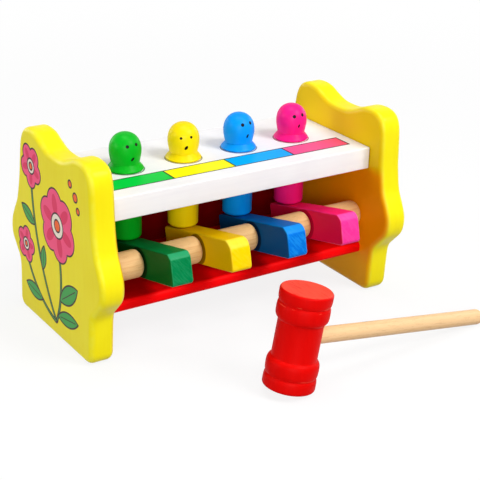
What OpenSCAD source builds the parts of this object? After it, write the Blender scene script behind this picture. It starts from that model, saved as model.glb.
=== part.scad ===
// Peg pounding bench: two wavy end panels carry a deck with four pegs, and a row of levers
// on one axle pops each peg up when its front end is struck with the mallet.
// Millimetres. X runs along the bench, Y from its front to its back, Z up from the floor.
// The origin is the middle, on the floor, of the box round the bench and the mallet beside it.

/* [End panels] */
// Length of the bench, over both end panels
bench_l = 210; // [190:1:250]
// Thickness of an end panel
panel_t = 15; // [10:0.5:20]
// Depth of an end panel, across its two bulges
panel_w = 120; // [105:0.5:140]
// Height of an end panel, to the top of its humps
panel_h = 119; // [110:1:140]
// Depth of an end panel at its foot
foot_w = 95.5; // [86:0.5:100]
// How far the middle of the foot stands behind the pegs
foot_back = 2.5; // [0:0.5:4]
// How far the top of an end panel reaches ahead of its foot
panel_forward = 7; // [0:0.5:8]
// Radius of the foot's two corners
foot_r = 7; // [3:0.5:10]
// Round-over along the edges of an end panel
panel_round = 3.5; // [1:0.5:5]

/* [Deck, shelf and back board] */
// Depth of the deck, with the pegs along its middle
deck_w = 78; // [70:1:90]
// Thickness of the deck
deck_t = 13.5; // [10:0.5:18]
// Height of the deck's top above the floor
deck_top = 95.5; // [90:0.5:102]
// Thickness of the shelf
shelf_t = 7; // [5:0.5:10]
// Height of the shelf's top above the floor
shelf_top = 31; // [26:0.5:34]
// How far the shelf's front stands behind the deck's front
shelf_setback = 3.5; // [2:0.5:10]
// Round-over along the shelf's front edge
shelf_round = 2.8; // [1:0.2:3.2]
// Thickness of the back board
back_t = 7; // [4:0.5:10]

/* [Pegs] */
// Diameter of a peg's shaft
peg_d = 18.4; // [16:0.2:20]
// Round-over at the shaft's lower end
peg_round = 2; // [0.5:0.5:3]
// Diameter of the peg's domed head
head_d = 18.8; // [17:0.2:20]
// Height of the head above the deck
head_h = 21.8; // [18:0.2:26]
// Diameter of the neck between the head and the collar
neck_d = 16.8; // [14:0.2:17]
// Diameter of the collar that rests on the deck
collar_d = 21.4; // [20.6:0.2:24]
// Height of the flared collar
collar_h = 4.6; // [3:0.2:6]

/* [Levers and axle] */
// Width of a lever
lever_w = 13.2; // [11:0.2:15]
// Height of a lever
lever_h = 18.6; // [16:0.2:20]
// Reach of a lever in front of the axle
lever_front = 37.5; // [33:0.5:42]
// Reach of a lever behind the axle, to under its peg
lever_rear = 37.8; // [36.6:0.2:40]
// Radius of a lever's upper front corner
lever_round = 5; // [1:0.5:7]
// Diameter of the axle rod
axle_d = 6; // [4:0.5:8]
// Distance of the axle in front of the pegs
axle_ahead = 28; // [27:0.5:32]
// Height of the axle above the floor
axle_h = 49; // [46:0.5:51]
// Diameter of the spacers between the levers
spacer_d = 16.5; // [14:0.5:18]
// Round-over at the ends of a spacer
spacer_round = 2; // [0.5:0.5:3]

/* [Mallet] */
// Diameter of the mallet's head at its bands
mallet_d = 29.5; // [26:0.5:34]
// Length of the mallet's head
mallet_l = 56.5; // [46:0.5:64]
// Diameter of the head at its waist
waist_d = 25.4; // [20:0.1:25.5]
// Length of each end lobe of the head
end_lobe_l = 7.6; // [5:0.1:9]
// Length of each inner lobe of the head
inner_lobe_l = 10; // [8:0.1:12]
// Depth of the groove between two lobes
groove_d = 0.8; // [0.3:0.1:1.2]
// Round-over of the striking faces
strike_round = 1.5; // [0.5:0.1:2.5]
// Diameter of the handle
handle_d = 9.3; // [8:0.1:12]
// Reach of the handle from the middle of the head
handle_reach = 144; // [110:1:170]
// How far the handle goes into the head past its middle
handle_inset = 6; // [0:0.5:9]
// Round-over of the handle's free end
handle_round = 3; // [1:0.5:4]
// Place of the mallet's head along the bench, from its middle
mallet_x = -18.5; // [-40:0.5:0]
// Place of the mallet's head in front of the pegs
mallet_ahead = 120; // [112:0.5:140]
// Turn of the mallet on the floor
mallet_turn = 3; // [0:0.5:10]

/* [Dowels] */
// Diameter of the dowels in the deck's ends
deck_dowel_d = 7; // [5:0.5:9]
// Diameter of the dowels in the shelf's and back board's ends
thin_dowel_d = 4; // [3:0.5:4.5]
// Depth of a dowel in an end panel, and of the axle rod
dowel_seat = 9; // [6:0.5:9.5]
// Depth of a dowel in a board's end
dowel_grip = 12; // [8:0.5:14]
// Distance between the two dowels in an end of the deck
deck_dowel_pitch = 46; // [30:1:60]
// Distance between the two dowels in an end of the shelf
shelf_dowel_pitch = 40; // [30:1:56]
// Distance between the two dowels in an end of the back board
back_dowel_pitch = 28; // [16:1:34]

/* [Fits] */
// Gap where a piece rests on another that moves
seat_gap = 0.2; // [0.05:0.05:0.3]
// Radial gap between a peg and its hole
hole_gap = 0.4; // [0.2:0.1:0.6]
// Radial gap between the axle rod and what turns on it
run_gap = 0.08; // [0.04:0.02:0.1]
// Gap between a spacer and the lever beside it
side_gap = 0.2; // [0.1:0.05:0.5]
// Gap left for glue round a dowel and at its ends
glue_gap = 0.05; // [0.02:0.01:0.1]

/* [Hidden] */

round_fn = 96;
corner_steps = 5;
cut = 1;
peg_count = 4;

// Places along the bench: four levers with five equal spaces between and beside them
deck_l = bench_l - 2 * panel_t;
space_l = (deck_l - peg_count * lever_w) / (peg_count + 1);
peg_pitch = space_l + lever_w;
spacer_l = space_l - 2 * side_gap;
function peg_x(i) = (i - (peg_count - 1) / 2) * peg_pitch;
function space_x(i) = -deck_l / 2 + space_l / 2 + i * peg_pitch;

// Heights and depths of the boards
deck_under = deck_top - deck_t;
shelf_front = -deck_w / 2 + shelf_setback;
shelf_w = deck_w - shelf_setback;
back_y = deck_w / 2 - back_t / 2;
back_mid = (shelf_top + deck_under) / 2;

// A resting lever leans back until its lower rear edge meets the shelf
axle_y = -axle_ahead;
lever_half = lever_h / 2;
rear_corner = norm([lever_rear, lever_half]);
rear_angle = atan2(lever_half, lever_rear);
lever_tilt = asin((axle_h - shelf_top - seat_gap) / rear_corner) - rear_angle;

// A resting peg hangs by its collar, with its foot just over the lever's sloping top
contact_y = axle_ahead - (peg_d / 2 - peg_round);
contact_z = axle_h - contact_y * tan(lever_tilt) + lever_half / cos(lever_tilt);
peg_foot = contact_z + (peg_round + seat_gap) / cos(lever_tilt) - peg_round;
collar_foot = deck_top + seat_gap;

// The mallet leans until its lower rim and the end of its handle both meet the floor
lean_rise = mallet_l / 2 - strike_round - handle_d / 2 + handle_round;
lean_run = handle_reach - handle_round - mallet_d / 2 + strike_round;
mallet_lean = acos((handle_round - strike_round) / norm([lean_rise, lean_run])) - atan2(lean_run, lean_rise);
mallet_z = (mallet_d / 2 - strike_round) * sin(mallet_lean)
    + (mallet_l / 2 - strike_round) * cos(mallet_lean) + strike_round;

// Half of an end panel's outline above its foot, as shares of half its depth and of its height:
// a notch over the foot, the bulge, the waist, a hump and the dip in the middle of the top
side_share = [[0.797, 0.1], [0.797, 0.2], [0.814, 0.262], [0.893, 0.312], [0.973, 0.361], [1, 0.412],
    [0.986, 0.47], [0.93, 0.53], [0.865, 0.59], [0.825, 0.665], [0.8, 0.735], [0.782, 0.82], [0.757, 0.91],
    [0.71, 0.965], [0.63, 0.992], [0.525, 1], [0.4, 0.993], [0.28, 0.968], [0.14, 0.945], [0, 0.94],
    [-0.14, 0.945]];
span_steps = 3;

// Point of a smooth curve between b and c, with a before and d after them
function smooth(a, b, c, d, t) =
    b + ((c - a) * t + (2 * a - 5 * b + 4 * c - d) * t * t + (3 * b - a - 3 * c + d) * t * t * t) / 2;

// Points of an arc round c, from the angle a to the angle b
function arc(c, r, a, b, steps) =
    [for (i = [0:steps]) let (w = a + (b - a) * i / steps) [c[0] + r * cos(w), c[1] + r * sin(w)]];

function panel_place(s) = [s[0] * panel_w / 2, s[1] * panel_h];
function scaled(i) = i < 2 ? [foot_w / 2, panel_place(side_share[i])[1]] : panel_place(side_share[i]);
half_outline = concat(
    arc([foot_w / 2 - foot_r, foot_r], foot_r, -90, 0, corner_steps),
    [for (i = [1:len(side_share) - 3], j = [0:span_steps - 1])
        smooth(scaled(i - 1), scaled(i), scaled(i + 1), scaled(i + 2), j / span_steps)]);
upright_outline = concat(half_outline, [scaled(len(side_share) - 2)],
    [for (i = [len(half_outline) - 1:-1:0]) [-half_outline[i][0], half_outline[i][1]]]);
outline = [for (p = upright_outline) [p[0] + foot_back - panel_forward * p[1] / panel_h, p[1]]];
outline_n = len(outline);

// The box round the bench and the mallet, in the bench's own places
reach_x = cos(mallet_turn) * cos(mallet_lean);
handle_end_x = mallet_x + (handle_reach - handle_round) * reach_x + handle_round
    + (handle_d / 2 - handle_round) * sqrt(1 - reach_x * reach_x);
tip_y = sin(mallet_turn) * sin(mallet_lean);
head_front = mallet_ahead + (mallet_d / 2 - strike_round) * sqrt(1 - tip_y * tip_y)
    + (mallet_l / 2 - strike_round) * tip_y + strike_round;
panel_back = max([for (p = outline) p[0]]);
set_x = -(handle_end_x - bench_l / 2) / 2;
set_y = -(panel_back - head_front) / 2;

// Outline point i moved inwards, at right angles to the edge
function inset_point(i, d) =
    let (v = outline[(i + 1) % outline_n] - outline[(i + outline_n - 1) % outline_n])
    outline[i] + d * [-v[1], v[0]] / norm(v);

// Each ring of the panel's round-over is [distance from the face, inset]
panel_rings = concat(
    [for (i = [0:corner_steps]) let (w = 90 * i / corner_steps)
        [panel_round * (1 - cos(w)), panel_round * (1 - sin(w))]],
    [for (i = [corner_steps:-1:0]) let (w = 90 * i / corner_steps)
        [panel_t - panel_round * (1 - cos(w)), panel_round * (1 - sin(w))]]);

module place() {
    translate([set_x, set_y, 0]) children();
}

// A bar along X, centred on a point
module x_bar(d, l, x, y, z) {
    translate([x, y, z]) rotate([0, 90, 0]) cylinder(d = d, h = l, center = true, $fn = round_fn);
}

// Both ends' pieces of a pair of dowels, or with a gap the holes for them
module dowel_pair(d, y, z, dy, dz, gap) {
    for (side = [-1, 1], k = [-1, 1])
        x_bar(d + 2 * gap, dowel_seat + dowel_grip + (gap > 0 ? 0 : -2 * glue_gap),
            side * (deck_l / 2 + (dowel_seat - dowel_grip) / 2), y + k * dy / 2, z + k * dz / 2);
}

module deck_dowel_set(gap) {
    dowel_pair(deck_dowel_d, 0, deck_top - deck_t / 2, deck_dowel_pitch, 0, gap);
}

module shelf_dowel_set(gap) {
    dowel_pair(thin_dowel_d, shelf_front + shelf_w / 2, shelf_top - shelf_t / 2, shelf_dowel_pitch, 0, gap);
}

module back_dowel_set(gap) {
    dowel_pair(thin_dowel_d, back_y, back_mid, 0, back_dowel_pitch, gap);
}

module axle_hole() {
    x_bar(axle_d + 2 * glue_gap, deck_l + 2 * dowel_seat, 0, axle_y, axle_h);
}

module end_panel() {
    rings = len(panel_rings);
    points = [for (r = panel_rings, i = [0:outline_n - 1]) let (p = inset_point(i, r[1])) [r[0], p[0], p[1]]];
    sides = [for (k = [0:rings - 2], i = [0:outline_n - 1])
        let (a = k * outline_n, j = (i + 1) % outline_n)
        each [[a + i, a + outline_n + i, a + outline_n + j], [a + i, a + outline_n + j, a + j]]];
    caps = [[for (i = [0:outline_n - 1]) i], [for (i = [outline_n - 1:-1:0]) (rings - 1) * outline_n + i]];
    polyhedron(points, concat(sides, caps), convexity = 6);
}

module drilled_panel(x) {
    color([0.98, 0.92, 0.16]) place() difference() {
        translate([x, 0, 0]) end_panel();
        axle_hole();
        deck_dowel_set(glue_gap);
        shelf_dowel_set(glue_gap);
        back_dowel_set(glue_gap);
    }
}

module left_end_panel() {
    drilled_panel(-bench_l / 2);
}

module right_end_panel() {
    drilled_panel(deck_l / 2);
}

module top_deck() {
    color([0.97, 0.97, 0.96]) place() difference() {
        translate([-deck_l / 2, -deck_w / 2, deck_under]) cube([deck_l, deck_w, deck_t]);
        for (i = [0:peg_count - 1])
            translate([peg_x(i), 0, deck_under - cut])
                cylinder(d = peg_d + 2 * hole_gap, h = deck_t + 2 * cut, $fn = round_fn);
        deck_dowel_set(glue_gap);
    }
}

module bottom_shelf() {
    section = concat(
        arc([shelf_front + shelf_round, shelf_top - shelf_round], shelf_round, 180, 90, corner_steps),
        [[shelf_front + shelf_w, shelf_top], [shelf_front + shelf_w, shelf_top - shelf_t]],
        arc([shelf_front + shelf_round, shelf_top - shelf_t + shelf_round], shelf_round, 270, 180, corner_steps));
    color([0.85, 0.02, 0.03]) place() difference() {
        translate([-deck_l / 2, 0, 0]) rotate([90, 0, 90]) linear_extrude(deck_l) polygon(section);
        shelf_dowel_set(glue_gap);
    }
}

module back_board() {
    color([0.72, 0.02, 0.03]) place() difference() {
        translate([-deck_l / 2, deck_w / 2 - back_t, shelf_top]) cube([deck_l, back_t, deck_under - shelf_top]);
        back_dowel_set(glue_gap);
    }
}

module deck_dowels() {
    color([0.86, 0.7, 0.47]) place() deck_dowel_set(0);
}

module shelf_dowels() {
    color([0.86, 0.7, 0.47]) place() shelf_dowel_set(0);
}

module back_board_dowels() {
    color([0.86, 0.7, 0.47]) place() back_dowel_set(0);
}

module axle_rod() {
    color([0.86, 0.7, 0.47]) place() x_bar(axle_d, deck_l + 2 * (dowel_seat - glue_gap), 0, axle_y, axle_h);
}

// A drilled roller, number i from the left
module spacer(i) {
    half = spacer_l / 2;
    inner = axle_d / 2 + run_gap;
    outer = spacer_d / 2;
    section = concat([[inner, -half]],
        arc([outer - spacer_round, -half + spacer_round], spacer_round, -90, 0, corner_steps),
        arc([outer - spacer_round, half - spacer_round], spacer_round, 0, 90, corner_steps),
        [[inner, half]]);
    color([0.92, 0.76, 0.52]) place() translate([space_x(i), axle_y, axle_h]) rotate([0, 90, 0])
        rotate_extrude($fn = round_fn) polygon(section);
}

module spacer_1() {
    spacer(0);
}

module spacer_2() {
    spacer(1);
}

module spacer_3() {
    spacer(2);
}

module spacer_4() {
    spacer(3);
}

module spacer_5() {
    spacer(4);
}

// A lever at rest, front end up, number i from the left
module lever(i, tone) {
    section = concat([[lever_rear, lever_half]],
        arc([-lever_front + lever_round, lever_half - lever_round], lever_round, 90, 180, corner_steps),
        [[-lever_front, -lever_half], [lever_rear, -lever_half]]);
    color(tone) place() translate([peg_x(i), axle_y, axle_h]) rotate([-lever_tilt, 0, 0]) difference() {
        translate([-lever_w / 2, 0, 0]) rotate([90, 0, 90]) linear_extrude(lever_w) polygon(section);
        x_bar(axle_d + 2 * run_gap, lever_w + 2 * cut, 0, 0, 0);
    }
}

module lever_green() {
    lever(0, [0.02, 0.52, 0.3]);
}

module lever_yellow() {
    lever(1, [1, 0.88, 0.05]);
}

module lever_blue() {
    lever(2, [0.02, 0.45, 0.92]);
}

module lever_pink() {
    lever(3, [0.98, 0.22, 0.6]);
}

// Parts of the head's height and of its bulge and flare, along a peg from the deck up
dome_share = 0.53;
rim_share = 0.2;
flare_share = [[0.86, 0.34], [0.5, 0.56], [0.2, 0.8], [0, 1]];

// A turned peg at rest, number i from the left: shaft, flared collar, neck and domed head
module peg(i, tone) {
    collar_r = collar_d / 2;
    neck_r = neck_d / 2;
    dome_z = head_h * dome_share;
    rim = collar_h * rim_share;
    section = concat([[0, peg_foot]],
        arc([peg_d / 2 - peg_round, peg_foot + peg_round], peg_round, -90, 0, corner_steps),
        [[peg_d / 2, collar_foot], [collar_r - rim / 2, collar_foot]],
        arc([collar_r - rim / 2, collar_foot + rim / 2], rim / 2, -60, 30, 2),
        [for (s = flare_share) [neck_r + (collar_r - neck_r) * s[0], collar_foot + collar_h * s[1]]],
        [for (w = [60:30:90]) [neck_r + (head_d / 2 - neck_r) * sin(w),
            collar_foot + collar_h + (dome_z - collar_h) * (1 - cos(w))]],
        [for (w = [10:10:80]) [head_d / 2 * cos(w), collar_foot + dome_z + (head_h - dome_z) * sin(w)]],
        [[0, collar_foot + head_h]]);
    color(tone) place() translate([peg_x(i), 0, 0]) rotate_extrude($fn = round_fn) polygon(section);
}

module peg_green() {
    peg(0, [0.05, 0.66, 0.14]);
}

module peg_yellow() {
    peg(1, [0.96, 0.86, 0.08]);
}

module peg_blue() {
    peg(2, [0.03, 0.58, 1]);
}

module peg_pink() {
    peg(3, [1, 0.15, 0.55]);
}

module mallet_place() {
    place() translate([mallet_x, -mallet_ahead, mallet_z]) rotate([0, 0, mallet_turn]) rotate([0, mallet_lean, 0])
        children();
}

// Shape of one lobe of the mallet's head between two grooves, as [share of its length, share of the groove]
lobe_share = [[0.1, 0.45], [0.28, 0.1], [0.5, 0]];

// Shape of an inner lobe's shoulder, as [share of its length, share of the step down to the waist]
shoulder_share = [[0.72, 0.06], [0.84, 0.24], [0.93, 0.52], [0.98, 0.8], [1, 1]];

// Upper half of the mallet head's outline, from its striking face down to its waist
mallet_r = mallet_d / 2;
groove_z = mallet_l / 2 - end_lobe_l;
head_half = concat(
    arc([mallet_r - strike_round, mallet_l / 2 - strike_round], strike_round, 90, 0, corner_steps),
    [for (k = [2:-1:0]) [mallet_r - groove_d * lobe_share[k][1], groove_z + end_lobe_l * lobe_share[k][0]]],
    [[mallet_r - groove_d, groove_z]],
    [for (s = lobe_share) [mallet_r - groove_d * s[1], groove_z - inner_lobe_l * s[0]]],
    [for (s = shoulder_share) [mallet_r - (mallet_r - waist_d / 2) * s[1], groove_z - inner_lobe_l * s[0]]]);

module mallet_head() {
    n = len(head_half);
    section = concat([[0, mallet_l / 2]], head_half,
        [for (k = [n - 1:-1:0]) [head_half[k][0], -head_half[k][1]]], [[0, -mallet_l / 2]]);
    color([0.88, 0.03, 0.03]) mallet_place() difference() {
        rotate_extrude($fn = round_fn) polygon(section);
        translate([-handle_inset, 0, 0]) rotate([0, 90, 0])
            cylinder(d = handle_d + 2 * glue_gap, h = handle_inset + mallet_d, $fn = round_fn);
    }
}

module mallet_handle() {
    handle_r = handle_d / 2;
    foot = glue_gap - handle_inset;
    section = concat([[0, foot], [handle_r, foot]],
        arc([handle_r - handle_round, handle_reach - handle_round], handle_round, 0, 90, corner_steps),
        [[0, handle_reach]]);
    color([0.93, 0.78, 0.55]) mallet_place() rotate([0, 90, 0]) rotate_extrude($fn = round_fn) polygon(section);
}

left_end_panel();
right_end_panel();
top_deck();
bottom_shelf();
back_board();
deck_dowels();
shelf_dowels();
back_board_dowels();
axle_rod();
spacer_1();
spacer_2();
spacer_3();
spacer_4();
spacer_5();
lever_green();
lever_yellow();
lever_blue();
lever_pink();
peg_green();
peg_yellow();
peg_blue();
peg_pink();
mallet_head();
mallet_handle();
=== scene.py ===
import math

import bmesh
import bpy
from mathutils import Matrix, Vector


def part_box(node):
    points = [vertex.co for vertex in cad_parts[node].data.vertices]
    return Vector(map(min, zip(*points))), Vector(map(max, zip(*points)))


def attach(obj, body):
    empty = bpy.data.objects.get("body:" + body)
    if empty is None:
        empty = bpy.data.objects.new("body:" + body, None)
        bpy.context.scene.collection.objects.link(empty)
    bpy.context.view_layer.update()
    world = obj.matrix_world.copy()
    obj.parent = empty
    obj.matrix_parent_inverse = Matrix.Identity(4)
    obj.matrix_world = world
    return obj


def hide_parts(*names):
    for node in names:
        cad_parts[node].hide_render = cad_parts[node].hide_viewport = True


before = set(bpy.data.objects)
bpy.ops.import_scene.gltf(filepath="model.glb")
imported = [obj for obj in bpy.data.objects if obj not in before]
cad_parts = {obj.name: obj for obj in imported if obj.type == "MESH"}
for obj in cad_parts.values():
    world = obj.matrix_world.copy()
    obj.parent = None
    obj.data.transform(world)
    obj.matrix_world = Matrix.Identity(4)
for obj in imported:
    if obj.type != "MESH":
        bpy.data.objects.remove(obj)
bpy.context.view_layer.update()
mm = 0.001
quarterTurn = math.pi / 2

# The bench stands a little off the frame's origin, so its deck gives its middle
deckLow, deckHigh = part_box("top_deck")
benchX = (deckLow.x + deckHigh.x) / 2
benchY = (deckLow.y + deckHigh.y) / 2
# Bench millimetres to the frame's metres
benchPlace = Matrix.Translation((benchX, benchY, 0)) @ Matrix.Scale(mm, 4)
# A side profile's u, v and thickness to Y, Z and X
alongBench = Matrix(((0, 0, 1, 0), (1, 0, 0, 0), (0, 1, 0, 0), (0, 0, 0, 1)))

# Places that several pieces share, in millimetres from the bench's middle and the floor
bench = {"boardX": 90, "deckTop": 95.5, "deckThick": 13.5, "shelfUnder": 24, "pegPitch": 38.64,
         "axleY": -28, "axleZ": 49, "gap": 0.2}
colours = ("green", "yellow", "blue", "pink")
pegPlaces = [(k - 1.5) * bench["pegPitch"] for k in range(len(colours))]


# Shared helpers

class Value:   # a socket that takes part in sums
    def __init__(self, tree, socket):
        self.tree = tree
        self.socket = socket

    def maths(self, operation, first, second=0.0):
        return self.tree.add("ShaderNodeMath", {"operation": operation}, {0: first, 1: second})

    def __add__(self, other):
        return self.maths("ADD", self, other)

    def __radd__(self, other):
        return self.maths("ADD", other, self)

    def __sub__(self, other):
        return self.maths("SUBTRACT", self, other)

    def __rsub__(self, other):
        return self.maths("SUBTRACT", other, self)

    def __mul__(self, other):
        return self.maths("MULTIPLY", self, other)

    def __rmul__(self, other):
        return self.maths("MULTIPLY", other, self)

    def __truediv__(self, other):
        return self.maths("DIVIDE", self, other)

    def __rtruediv__(self, other):
        return self.maths("DIVIDE", other, self)

    def __mod__(self, other):
        return self.maths("FLOORED_MODULO", self, other)

    def __pow__(self, other):
        return self.maths("POWER", self, other)

    def __abs__(self):
        return self.maths("ABSOLUTE", self)

    def __lt__(self, other):
        return self.maths("LESS_THAN", self, other)

    def __gt__(self, other):
        return self.maths("GREATER_THAN", self, other)

    def floor(self):
        return self.maths("FLOOR", self)

    def sin(self):
        return self.maths("SINE", self)

    def cos(self):
        return self.maths("COSINE", self)

    def least(self, other):
        return self.maths("MINIMUM", self, other)

    def most(self, other):
        return self.maths("MAXIMUM", self, other)

    def beside(self, name):   # another output of the same node
        return Value(self.tree, self.socket.node.outputs[name])


class Tree:   # a node tree and the one way a node is added to it
    def __init__(self, nodeTree):
        self.nodeTree = nodeTree

    def add(self, kind, settings=None, inputs=None, out=0):
        node = self.nodeTree.nodes.new(kind)
        for name, value in (settings or {}).items():
            if name == "stops":
                ramp = node.color_ramp
                while len(ramp.elements) < len(value):
                    ramp.elements.new(1.0)
                for element, (position, colour) in zip(ramp.elements, value):
                    element.position = position
                    element.color = colour
            elif name == "steps":
                node.color_ramp.interpolation = value
            else:
                setattr(node, name, value)
        for key, value in (inputs or {}).items():
            if isinstance(value, Value):
                self.nodeTree.links.new(value.socket, node.inputs[key])
            else:
                node.inputs[key].default_value = value
        return Value(self, node.outputs[out]) if node.outputs else node

    def mix(self, factor, first, second):
        return self.add("ShaderNodeMix", {"data_type": "RGBA"}, {0: factor, 6: first, 7: second}, out=2)

    def noise(self, place, scale, detail=3.0, rough=0.5):
        return self.add("ShaderNodeTexNoise", None,
                        {"Vector": place, "Scale": scale, "Detail": detail, "Roughness": rough})

    def stretch(self, place, scales):
        return self.add("ShaderNodeVectorMath", {"operation": "MULTIPLY"}, {0: place, 1: scales})

    def length(self, vector):
        return self.add("ShaderNodeVectorMath", {"operation": "LENGTH"}, {0: vector}, out="Value")

    def between(self, value, low, high):   # 0 under the low value, 1 over the high one, soft between them
        return self.add("ShaderNodeMapRange", {"interpolation_type": "SMOOTHSTEP"},
                        {0: value, 1: low, 2: high, 3: 0.0, 4: 1.0})

    def inside(self, distance, edge=0.0, soft=0.12):   # 1 where the distance is under the edge
        return self.add("ShaderNodeMapRange", {"interpolation_type": "SMOOTHSTEP"},
                        {0: distance, 1: edge - soft / 2, 2: edge + soft / 2, 3: 1.0, 4: 0.0})

    def split(self, vector):
        first = self.add("ShaderNodeSeparateXYZ", None, {0: vector})
        return first, first.beside("Y"), first.beside("Z")


def paintTone(red, green, blue):   # a screen colour, 0 to 255, as Blender's own linear one
    shares = [c / 255 for c in (red, green, blue)]
    return tuple(s / 12.92 if s < 0.04045 else ((s + 0.055) / 1.055) ** 2.4 for s in shares) + (1.0,)


def flatLength(a, b):
    return (a * a + b * b) ** 0.5


def curveStep(p, q, r, s, t):   # one coordinate of a soft curve on its stretch from q to r
    return q + ((r - p) * t + (2 * p - 5 * q + 4 * r - s) * t * t + (3 * q - p - 3 * r + s) * t ** 3) / 2


def smoothLine(points, steps):   # a soft curve through the points, without its last one
    padded = [points[0], *points, points[-1]]
    made = []
    for k in range(1, len(padded) - 2):
        near = padded[k - 1:k + 3]
        made += [tuple(curveStep(*along, j / steps) for along in zip(*near)) for j in range(steps)]
    return made


def arc(centre, radius, start, stop, steps):
    turns = [math.radians(start + (stop - start) * k / steps) for k in range(steps + 1)]
    return [(centre[0] + radius * math.cos(w), centre[1] + radius * math.sin(w)) for w in turns]


def roundedShape(corners, steps=10):   # u, v and radius of each corner, anticlockwise
    made = []
    for k, (u, v, radius) in enumerate(corners):
        here = Vector((u, v))
        inward = (Vector(corners[k - 1][:2]) - here).normalized()
        outward = (Vector(corners[(k + 1) % len(corners)][:2]) - here).normalized()
        half = inward.angle(outward) / 2
        centre = here + (inward + outward).normalized() * radius / math.sin(half)
        first = here + inward * radius / math.tan(half) - centre
        last = here + outward * radius / math.tan(half) - centre
        start = math.atan2(first.y, first.x)
        stop = math.atan2(last.y, last.x)
        stop += math.tau * (stop < start)
        made += arc(centre, radius, math.degrees(start), math.degrees(stop), steps)
    return made


def roundedBox(left, right, low, high, leftRound, rightRound, steps):
    return roundedShape([(left, low, leftRound), (right, low, rightRound),
                         (right, high, rightRound), (left, high, leftRound)], steps)


# The margin is a narrow band round each face that keeps its shading flat
boardSizes = {"holeSides": 72, "faceMargin": 0.25}


def addEdgeBand(built, rounding, loop, soft, thickness, easeSteps):   # one wall with both its eased edges
    count = len(loop)
    inwards = []
    for k in range(count):
        after = loop[(k + 1) % count]
        du = after[0] - loop[k - 1][0]
        dv = after[1] - loop[k - 1][1]
        inwards.append((-dv / math.hypot(du, dv), du / math.hypot(du, dv)))
    quarter = [quarterTurn * k / easeSteps for k in range(easeSteps + 1)]
    levels = [(0, soft + boardSizes["faceMargin"], 0)]   # depth, inset and how much of an edge it is
    levels += [(soft * (1 - math.cos(w)), soft * (1 - math.sin(w)), math.sin(2 * w)) for w in quarter]
    levels += [(thickness - depth, inset, share) for depth, inset, share in levels[::-1]]
    rings = []
    for depth, inset, share in levels:
        ring = []
        for (u, v), (inU, inV) in zip(loop, inwards):
            vertex = built.verts.new((u + inU * inset, v + inV * inset, depth))
            vertex[rounding] = max(share, 0)
            ring.append(vertex)
        rings.append(ring)
    for lower, upper in zip(rings, rings[1:]):
        for k in range(count):
            j = (k + 1) % count
            built.faces.new((lower[k], lower[j], upper[j], upper[k]))
    return rings[0], rings[-1]


# A board with eased edges, and round holes given as u, v, radius and the ease of their own edges
def board(name, outline, thickness, ease, place, holes=(), easeSteps=6):
    built = bmesh.new()
    rounding = built.verts.layers.float.new("rounding")   # 1 along the middle of every eased edge
    loops = [(outline, ease)]
    for u, v, radius, holeEase in holes:
        turns = [-math.tau * k / boardSizes["holeSides"] for k in range(boardSizes["holeSides"])]
        loops.append(([(u + radius * math.cos(w), v + radius * math.sin(w)) for w in turns], holeEase))
    rims = [addEdgeBand(built, rounding, loop, soft, thickness, easeSteps) for loop, soft in loops]
    for face in zip(*rims):
        edges = []
        for ring in face:
            edges += [built.edges.get((ring[k], ring[(k + 1) % len(ring)])) for k in range(len(ring))]
        bmesh.ops.triangle_fill(built, use_beauty=True, edges=edges)
    bmesh.ops.transform(built, matrix=place, verts=built.verts)
    bmesh.ops.recalc_face_normals(built, faces=built.faces)
    for face in built.faces:
        face.smooth = True
    mesh = bpy.data.meshes.new(name)
    built.to_mesh(mesh)
    built.free()
    piece = bpy.data.objects.new(name, mesh)
    bpy.context.scene.collection.objects.link(piece)
    return piece


def finishPiece(piece, material, body, node):
    piece.data.materials.clear()
    piece.data.materials.append(material)
    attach(piece, body)
    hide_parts(node)


# The lathe turns a profile round its axis

latheSizes = {"sides": 72, "weld": 1e-6, "rowNudge": 1e-4, "emptyEdge": 1e-7}


def makeLathe():
    group = bpy.data.node_groups.new("lathe", "GeometryNodeTree")
    group.interface.new_socket(name="Geometry", in_out="INPUT", socket_type="NodeSocketGeometry")
    numbers = (("Sides", "NodeSocketInt", latheSizes["sides"]), ("Scale", "NodeSocketFloat", mm),
               ("Weld", "NodeSocketFloat", latheSizes["weld"]))
    for name, kind, value in numbers:
        group.interface.new_socket(name=name, in_out="INPUT", socket_type=kind).default_value = value
    group.interface.new_socket(name="Finish", in_out="INPUT", socket_type="NodeSocketMaterial")
    group.interface.new_socket(name="Geometry", in_out="OUTPUT", socket_type="NodeSocketGeometry")
    tree = Tree(group)
    profile = tree.add("NodeGroupInput", out="Geometry")
    sides, scale, weld, finish = (profile.beside(name) for name in ("Sides", "Scale", "Weld", "Finish"))
    count = tree.add("GeometryNodeAttributeDomainSize", {"component": "MESH"}, {"Geometry": profile},
                     out="Point Count")
    grid = tree.add("GeometryNodeMeshGrid", None, {"Vertices X": sides + 1, "Vertices Y": count}, out="Mesh")
    index = tree.add("GeometryNodeInputIndex")
    side = (index / count + latheSizes["rowNudge"]).floor()
    step = index - side * count
    place = tree.add("GeometryNodeInputPosition")
    sample = tree.add("GeometryNodeSampleIndex", {"data_type": "FLOAT_VECTOR"},
                      {"Geometry": profile, "Value": place, "Index": step})
    radius, _, height = tree.split(sample)
    turn = side / sides * math.tau
    spot = tree.add("ShaderNodeCombineXYZ", None,
                    {0: radius * turn.cos() * scale, 1: radius * turn.sin() * scale, 2: height * scale})
    shape = tree.add("GeometryNodeSetPosition", None, {"Geometry": grid, "Position": spot})
    closed = tree.add("GeometryNodeMergeByDistance", None, {"Geometry": shape, "Distance": weld})
    solid = tree.add("GeometryNodeRealizeInstances", None, {"Geometry": closed})
    dressed = tree.add("GeometryNodeSetMaterial", None, {"Geometry": solid, "Material": finish})
    tree.add("NodeGroupOutput", None, {"Geometry": dressed})
    return group


lathe = makeLathe()


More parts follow.
